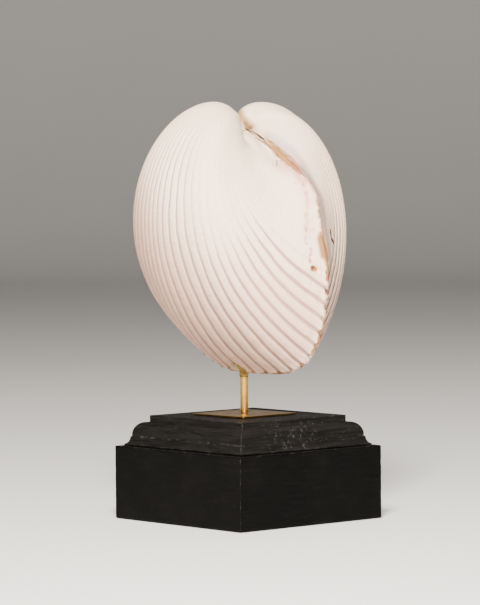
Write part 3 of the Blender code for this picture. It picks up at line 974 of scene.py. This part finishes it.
def seam_marks(paint):
    """The stains that cross the rear seam: line, radius, strength, colour and softness, from the top down."""
    for path, radius, strength, colour, soft in (
        (((-1.0, -58.8, 151.6), (-1.0, -59.6, 148.0), (-0.2, -60.9, 141.5), (0.5, -61.6, 135.6)), 2.4, 1.0,
         (0.30, 0.150, 0.050), 0.90),
        (((-1.4, -59.3, 149.0), (-1.1, -60.2, 145.0), (-0.7, -60.8, 140.5)), 3.4, 1.0,
         (0.28, 0.130, 0.040), 0.70),
        (((-0.5, -59.4, 149.4), (0.2, -60.4, 145.0), (0.6, -60.8, 141.0), (0.7, -61.4, 137.6)), 1.4, 1.0,
         (0.17, 0.075, 0.020), 0.8),
        (((1.3, -61.9, 134.6), (2.0, -61.4, 131.7), (1.2, -61.9, 129.6)), 1.6, 1.0, (0.22, 0.14, 0.050), 0.7),
        (((0.2, -62.0, 129.2), (0.0, -62.0, 127.6)), 1.2, 1.0, (0.38, 0.11, 0.040), 0.7),
        (((0.1, -60.9, 122.4), (0.0, -61.5, 120.9)), 1.2, 1.0, (0.09, 0.030, 0.020), 0.7),
        (((0.0, -61.5, 120.9), (2.7, -60.0, 118.7), (4.5, -58.7, 117.1)), 1.0, 0.9, (0.30, 0.11, 0.08), 0.8),
        (((-0.2, -60.9, 115.2), (-0.2, -60.5, 113.1), (2.8, -58.8, 110.9)), 1.2, 1.0,
         (0.22, 0.14, 0.05), 0.7),
        (((0.3, -59.7, 107.4), (0.6, -59.0, 105.3), (0.6, -58.6, 103.2), (0.0, -57.7, 100.1)), 1.3, 0.9,
         (0.26, 0.135, 0.06), 0.7),
        (((0.0, -57.7, 100.1), (0.2, -56.7, 98.0), (0.5, -55.8, 95.9)), 2.2, 1.0, (0.21, 0.095, 0.035), 0.7),
        (((0.5, -55.8, 95.9), (0.0, -54.2, 94.0), (-0.3, -53.5, 92.7), (-0.8, -51.6, 90.1)), 1.4, 0.95,
         (0.24, 0.12, 0.05), 0.7),
    ):
        paint.draw(path, radius, colour, strength, soft=soft)


def shell_left_paint():
    """The left half: a blush down the rear, dark lines of painted shade in the gap at the hinge, cracks and
    spots beside the seam.
    """
    paint, rough, broken, solid = shell_base("shell_ivory_left")
    pink = (0.70, 0.33, 0.26)
    paint.coat(pink, paint.near((-2.0, -34.0, 187.0), 12.0, 0.9), 0.45)
    rear = ((-3.0, -46.0, 180.0), (-3.5, -52.0, 168.0), (-5.0, -54.5, 150.0))
    paint.draw(rear, 7.0, pink, broken, 0.60, soft=0.9)
    blush = ((-2.3, -30.8, 189.4), (-1.8, -34.9, 186.8), (-1.7, -40.8, 183.2), (-2.5, -47.0, 178.0))
    paint.draw(blush, 3.4, (0.62, 0.27, 0.21), solid, 0.70, soft=0.9)
    fold = (
        (-1.7, -43.0, 182.0), (-3.2, -48.5, 176.0), (-3.5, -51.6, 169.0), (-4.8, -52.4, 162.6),
        (-7.6, -53.9, 152.9),
    )
    paint.draw(fold, 1.5, (0.52, 0.24, 0.18), broken, 0.70)
    # Pink-brown line along the rear seam: partly stain, partly painted shade of the gap between the halves.
    paint.draw(seam_path(1, 55, 24, 10), 1.7, (0.36, 0.16, 0.12), broken, 0.95)
    ramp = ((-1.9, -5.0, 204.2), (-2.0, -9.0, 202.7), (-1.9, -14.0, 200.4), (-2.0, -20.5, 196.8))
    paint.draw(ramp, 1.7, (0.62, 0.40, 0.26), 0.75, soft=0.8)
    # Painted shade: a dark line where the gap between the halves runs down from the beaks.
    upper = (
        (-1.8, -4.6, 204.5), (-2.1, -6.6, 203.7), (-2.1, -8.4, 203.0), (-1.6, -11.5, 202.1),
        (-1.7, -13.9, 200.7),
    )
    paint.draw(upper, 0.60, (0.15, 0.075, 0.035), solid)
    # Painted shade: the gap's dark line, carried on towards the ligament.
    lower = (
        (-3.0, -11.2, 201.2), (-2.6, -13.6, 200.0), (-2.2, -16.2, 198.7), (-1.9, -19.4, 197.4),
        (-2.1, -22.0, 195.8),
    )
    paint.draw(lower, 0.85, (0.15, 0.070, 0.030), solid)
    # Painted shade along the margin beside the hinge's gap.
    paint.draw(seam_path(1, 74, 54), 0.8, (0.12, 0.055, 0.022), broken, 0.95)
    seam_stain_and_gap_shade(paint)
    crack = ((-7.1, -53.9, 153.9), (-7.5, -54.4, 151.4), (-8.5, -54.7, 147.9), (-8.1, -55.4, 146.2))
    paint.draw(crack, 0.70, (0.30, 0.17, 0.10), broken, 0.95)
    crack = ((-6.5, -56.9, 143.7), (-6.3, -57.3, 142.0), (-7.6, -56.8, 139.8), (-7.0, -56.9, 137.0))
    paint.draw(crack, 1.6, (0.62, 0.32, 0.18), broken, 0.55, soft=0.9)
    paint.draw(crack, 0.75, (0.23, 0.115, 0.06), broken, 0.95)
    paint.draw(((-6.6, -56.7, 128.2), (-7.1, -57.4, 125.7)), 0.6, (0.34, 0.21, 0.14), 0.6)
    speck = paint.between(paint.noise(paint.place, 620.0, 2.0, 0.5), 0.36, 0.50)
    paint.coat((0.34, 0.115, 0.003), paint.near((-5.8, -58.4, 133.3), 2.2, 0.35), speck)
    paint.coat((0.085, 0.026, 0.005), paint.near((-6.4, -58.1, 134.2), 1.5, 0.45))
    for start, end, radius, strength in (
        ((-2.5, -24.1, 193.4), (-3.6, -27.3, 190.4), 0.55, 0.45),
        ((-4.2, -28.7, 189.2), (-7.2, -32.3, 186.4), 0.60, 0.85),
        ((-51.1, 14.5, 134.6), (-51.3, 14.1, 133.9), 0.7, 0.6),
        ((-56.5, -3.3, 155.0), (-56.4, -3.8, 153.4), 0.6, 0.45),
        ((-32.9, -13.5, 210.3), (-33.2, -15.8, 208.3), 0.45, 0.45),
        ((-30.6, -14.5, 210.3), (-31.0, -16.5, 208.6), 0.45, 0.40),
    ):
        paint.draw((start, end), radius, (0.22, 0.14, 0.11), strength)
    paint.coat((0.30, 0.20, 0.05), paint.near((-6.5, 5.5, 80.0), 7.0, 0.8), broken, 0.45)
    return paint.finish(rough, Specular_IOR_Level=0.35)


def shell_right_paint():
    """The right half: painted shade beside the seam and in its grooves there, with tan, pink and brown
    between the hinge and the beak.
    """
    paint, rough, _, solid = shell_base("shell_ivory_right")
    turn = paint.attribute("turn")
    along = paint.attribute("seam_along")
    shade = (
        (9.0, -31.0, 187.0), (14.0, -36.0, 178.0), (16.0, -40.3, 170.0), (12.0, -46.5, 163.0),
        (6.5, -53.5, 155.0), (5.0, -58.0, 144.0), (5.5, -58.5, 130.0),
    )
    paint.draw(shade, 6.5, (0.31, 0.20, 0.17), solid, 0.95, soft=0.95)
    low = paint.between(paint.attribute("seam_up"), -17.0, -30.0)
    # Painted shade on the flank beside the seam, darkest in its grooves.
    painted_shade_flank = paint.times(paint.between(turn, 0.95, 0.30), low, paint.between(along, 20.0, 50.0))
    paint.coat((0.52, 0.35, 0.29), painted_shade_flank, 0.45)
    paint.coat((0.19, 0.115, 0.095), painted_shade_flank, paint.between(paint.attribute("groove"), 0.12, 0.60), 0.85)
    shadow = (
        (8.3, -8.4, 202.0), (11.0, -13.5, 199.0), (14.1, -19.5, 195.2), (15.2, -23.4, 191.4),
        (16.2, -26.5, 187.9), (15.6, -29.9, 184.4), (15.6, -34.4, 178.8),
    )
    paint.draw(shadow, 4.6, (0.42, 0.335, 0.31), 0.60, soft=0.95)
    paint.draw(((10.3, -16.3, 197.0), (11.6, -19.8, 194.5)), 3.2, (0.68, 0.46, 0.46), 0.70, soft=0.9)
    band = paint.times(hinge_part(paint), paint.between(turn, 1.02, 0.78), paint.between(along, 15.0, 22.0))
    tan = paint.mix(paint.between(along, 41.0, 46.0), (0.28, 0.135, 0.035), (0.36, 0.13, 0.07))
    paint.coat(tan, band, solid)
    pink = (
        (8.3, -25.8, 190.4), (9.5, -27.6, 188.8), (8.3, -31.6, 186.1), (8.1, -34.8, 183.6),
        (7.0, -39.0, 180.0),
    )
    paint.draw(pink, 2.6, (0.68, 0.27, 0.22), solid, 0.90, soft=0.9)
    red = ((6.6, -29.3, 188.1), (5.0, -32.3, 186.5), (4.6, -34.6, 185.2))
    paint.draw(red, 1.8, (0.30, 0.10, 0.05), 0.95, soft=0.8)
    beak = ((1.7, 7.0, 214.6), (0.7, 5.3, 213.5), (0.2, 3.0, 211.4), (1.2, 0.6, 209.2), (2.2, -1.3, 207.0))
    paint.draw(beak, 4.0, (0.36, 0.22, 0.095), 1.0, soft=0.9)
    brown = ((0.3, 0.9, 208.8), (1.1, -0.6, 206.8), (2.0, -1.2, 206.4))
    paint.draw(brown, 2.0, (0.19, 0.10, 0.028), 0.9, soft=0.9)
    # Painted shade: a near-black line where the gap between the beaks lies in shade.
    dark = ((0.3, 0.6, 206.4), (0.6, 0.1, 205.7), (1.6, -0.5, 205.2))
    paint.draw(dark, 0.6, (0.028, 0.016, 0.010), 1.0)
    # Painted shade of the gap along the rear seam.
    paint.draw(seam_path(-1, 55, 24, 10), 1.5, (0.20, 0.105, 0.085), solid)
    seam_stain_and_gap_shade(paint)
    mark = ((15.1, -48.9, 152.3), (14.5, -49.8, 150.3), (14.4, -50.3, 148.2), (16.9, -49.2, 146.4))
    paint.draw(mark, 2.4, (0.33, 0.16, 0.12), 0.65, soft=0.9)
    paint.draw(mark, 1.6, (0.050, 0.014, 0.011), 1.0, soft=0.5)
    return paint.finish(rough, Specular_IOR_Level=0.35)


def wood_paint():
    """Ebonised wood: near black, grey along the arrises as a patchy painted highlight, with scratches and
    specks of dust.
    """
    paint = Paint("black_wood_grain", (0.0008, 0.0008, 0.0007))
    grain = paint.noise(paint.scaled(paint.place, (60.0, 60.0, 900.0)), 1.0, 5.0, 0.6)
    paint.coat((0.0026, 0.0024, 0.0022), paint.between(grain, 0.40, 0.70))
    paint.coat((0.0042, 0.0038, 0.0034), paint.between(paint.noise(paint.place, 45.0, 3.0), 0.45, 0.70), 0.3)
    upper = paint.between(paint.height(), (BLOCK_HEIGHT - 0.4) * MM, (BLOCK_HEIGHT + 0.4) * MM)
    paint.coat((0.0085, 0.0078, 0.0073), upper, paint.grey(grain, 0.35, 0.65, 0.35, 0.95))
    scratches = paint.noise(paint.scaled(paint.place, (500.0, 500.0, 160.0)), 1.0, 3.0, 0.7, 1.5)
    place = paint.near((-8.0, -45.0, 48.0), 30.0, 0.9)
    scraped = paint.times(paint.between(scratches, 0.56, 0.68), place, upper)
    paint.coat((0.050, 0.047, 0.043), scraped, 0.7)
    # Painted highlight: patchy grey along the arrises.
    painted_edge_highlight = paint.between(paint.noise(paint.place, 260.0, 4.0, 0.65), 0.50, 0.68)
    paint.coat((0.055, 0.050, 0.044), paint.between(paint.attribute("edge"), 0.40, 0.0), painted_edge_highlight, 0.65)
    dust = paint.between(paint.noise(paint.place, 1100.0, 1.0, 0.5), 0.750, 0.785)
    paint.coat((0.10, 0.095, 0.088), dust, paint.grey(upper, 0.0, 1.0, 0.35, 0.80))
    paint.bump(grain, 0.22, 0.12)
    paint.bump(scraped, 0.4, 0.10)
    return paint.finish(paint.grey(grain, 0.3, 0.7, 0.45, 0.62), Specular_IOR_Level=0.06)


def brass_paint(name, clean, tarnished):
    """Brass with a brownish tarnish, and a painted highlight of bright brass along the edges."""
    paint = Paint(name, clean, metallic=1.0)
    cloud = paint.noise(paint.place, 90.0, 4.0)
    paint.coat(tarnished, paint.between(cloud, 0.35, 0.68))
    spots = paint.noise(paint.place, 520.0, 3.0, 0.6)
    paint.coat((0.24, 0.12, 0.035), paint.between(spots, 0.60, 0.72), 0.5)
    # Painted highlight: bright brass along the edges.
    paint.coat((0.92, 0.60, 0.20), paint.between(paint.attribute("edge"), 0.35, 0.05), 0.8)
    paint.bump(paint.noise(paint.scaled(paint.place, (2600.0, 2600.0, 120.0)), 1.0, 3.0), 0.12, 0.05)
    return paint.finish(paint.grey(cloud, 0.3, 0.75, 0.24, 0.40))


def horn_paint():
    """Dried horn: orange tan on top, dark and pinkish towards the beaks, split across."""
    paint = Paint("dried_horn", (0.20, 0.078, 0.014), roughness=0.55)
    part = paint.attribute("part")
    fibre = paint.attribute("fibre")
    strands = paint.combine(paint.times(part, 3.0), fibre)
    bands = paint.noise(paint.scaled(strands, (1.0, 2.2, 1.0)), 2.0, 4.0)
    paint.coat((0.36, 0.175, 0.045), paint.between(bands, 0.35, 0.65))
    paint.coat((0.50, 0.31, 0.19), paint.between(part, 0.30, 0.08), 0.8)
    paint.coat((0.30, 0.10, 0.05), paint.between(part, 0.74, 0.94), 0.85)
    splits = paint.noise(paint.combine(paint.times(part, 60.0), paint.times(fibre, 0.6)), 1.0, 3.0, 0.7)
    paint.coat((0.07, 0.035, 0.018), paint.between(splits, 0.60, 0.70), 0.7)
    paint.bump(bands, 0.4, 0.2)
    paint.bump(splits, 0.5, 0.2)
    return paint.finish()


def glue_paint():
    paint = Paint("amber_glue", (0.17, 0.10, 0.020), roughness=0.25)
    cloud = paint.noise(paint.place, 420.0, 3.0)
    paint.coat((0.32, 0.20, 0.045), paint.between(cloud, 0.3, 0.7))
    paint.bump(cloud, 0.3, 0.3)
    return paint.finish(Subsurface_Weight=0.15, Subsurface_Scale=0.001)


def floor_paint():
    paint = Paint("pale_floor", (0.70, 0.69, 0.67), roughness=0.6)
    paint.coat((0.74, 0.73, 0.71), paint.noise(paint.place, 3.0, 2.0))
    return paint.finish()


# Stage, camera and light


def make_stage():
    """A pale floor that curves up into a plain backdrop behind the object."""
    size, rise, radius, drop, steps = 4000.0, 2600.0, 900.0, 0.3, 16
    profile = [(-size, 0.0), (size - radius, 0.0)]
    for step in range(1, steps + 1):
        angle = math.pi / 2 * step / steps
        profile.append((size - radius + radius * math.sin(angle), radius - radius * math.cos(angle)))
    profile.append((size, rise))
    turn = math.radians(CAMERA_AZIMUTH)
    points = []
    for across in (-size, size):
        for away, height in profile:
            x = across * math.cos(turn) + away * math.sin(turn)
            y = away * math.cos(turn) - across * math.sin(turn)
            points.append((x, y, height - drop))
    count = len(profile)
    mesh = bpy.data.meshes.new("pale_floor")
    faces = [(index, index + 1, count + index + 1, count + index) for index in range(count - 1)]
    mesh.from_pydata([tuple(value * MM for value in point) for point in points], [], faces)
    mesh.materials.append(floor_paint())
    mesh.shade_smooth()
    floor = bpy.data.objects.new("pale_floor", mesh)
    bpy.context.collection.objects.link(floor)


def make_camera():
    data = bpy.data.cameras.new("photo_camera")
    data.sensor_fit = "VERTICAL"
    data.sensor_height = SENSOR
    data.lens = FOCAL_PIXELS * SENSOR / IMAGE_HEIGHT
    data.clip_end = 20.0
    camera = bpy.data.objects.new("photo_camera", data)
    bpy.context.collection.objects.link(camera)
    azimuth = math.radians(CAMERA_AZIMUTH)
    x = CAMERA_SIDE * math.cos(azimuth) - CAMERA_DISTANCE * math.sin(azimuth)
    y = -CAMERA_SIDE * math.sin(azimuth) - CAMERA_DISTANCE * math.cos(azimuth)
    turn = Matrix.Rotation(-azimuth, 4, "Z") @ Matrix.Rotation(math.radians(90.0 - CAMERA_DIP), 4, "X")
    turn = turn @ Matrix.Rotation(math.radians(CAMERA_ROLL), 4, "Z")
    camera.matrix_world = Matrix.Translation(Vector((x, y, CAMERA_HEIGHT)) * MM) @ turn
    bpy.context.scene.camera = camera


def add_softbox(name, azimuth, elevation, distance, size, power, colour):
    """A square soft light aimed at the shell; azimuth 0 is the camera's side, positive to its right."""
    aim = Vector((0.0, 0.0, 0.16))
    heading = math.radians(-90.0 - CAMERA_AZIMUTH + azimuth)
    lift = math.radians(elevation)
    away = Vector((math.cos(heading) * math.cos(lift), math.sin(heading) * math.cos(lift), math.sin(lift)))
    data = bpy.data.lights.new(name, "AREA")
    data.size = size
    data.energy = power
    data.color = colour
    light = bpy.data.objects.new(name, data)
    light.location = aim + away * distance
    light.rotation_euler = (-away).to_track_quat("-Z", "Y").to_euler()
    bpy.context.collection.objects.link(light)


def make_lights():
    add_softbox("key", -4.0, 34.0, 1.5, 0.45, 124.0, (1.0, 0.945, 0.87))
    add_softbox("fill", -75.0, 30.0, 1.8, 1.2, 0.6, (1.0, 0.97, 0.94))
    add_softbox("top", 150.0, 70.0, 1.6, 1.0, 5.0, (1.0, 0.97, 0.94))
    world = bpy.data.worlds.new("soft_world")
    world.use_nodes = True
    sky = world.node_tree.nodes["Background"]
    sky.inputs["Color"].default_value = (1.0, 0.985, 0.965, 1.0)
    sky.inputs["Strength"].default_value = 0.055
    bpy.context.scene.world = world


def main():
    make_camera()
    make_stage()
    make_lights()
    valves = [
        make_valve("left_valve", 1, shell_left_paint()),
        make_valve("right_valve", -1, shell_right_paint()),
    ]
    make_ligament(horn_paint())
    wood = wood_paint()
    make_block(wood)
    make_moulding(wood)
    make_plate(brass_paint("brass_tarnished", (0.37, 0.21, 0.045), (0.23, 0.125, 0.028)))
    rod_top = make_rod(brass_paint("brass_polished", (0.86, 0.50, 0.105), (0.60, 0.32, 0.06)))
    make_glue(valves, rod_top, glue_paint())


main()
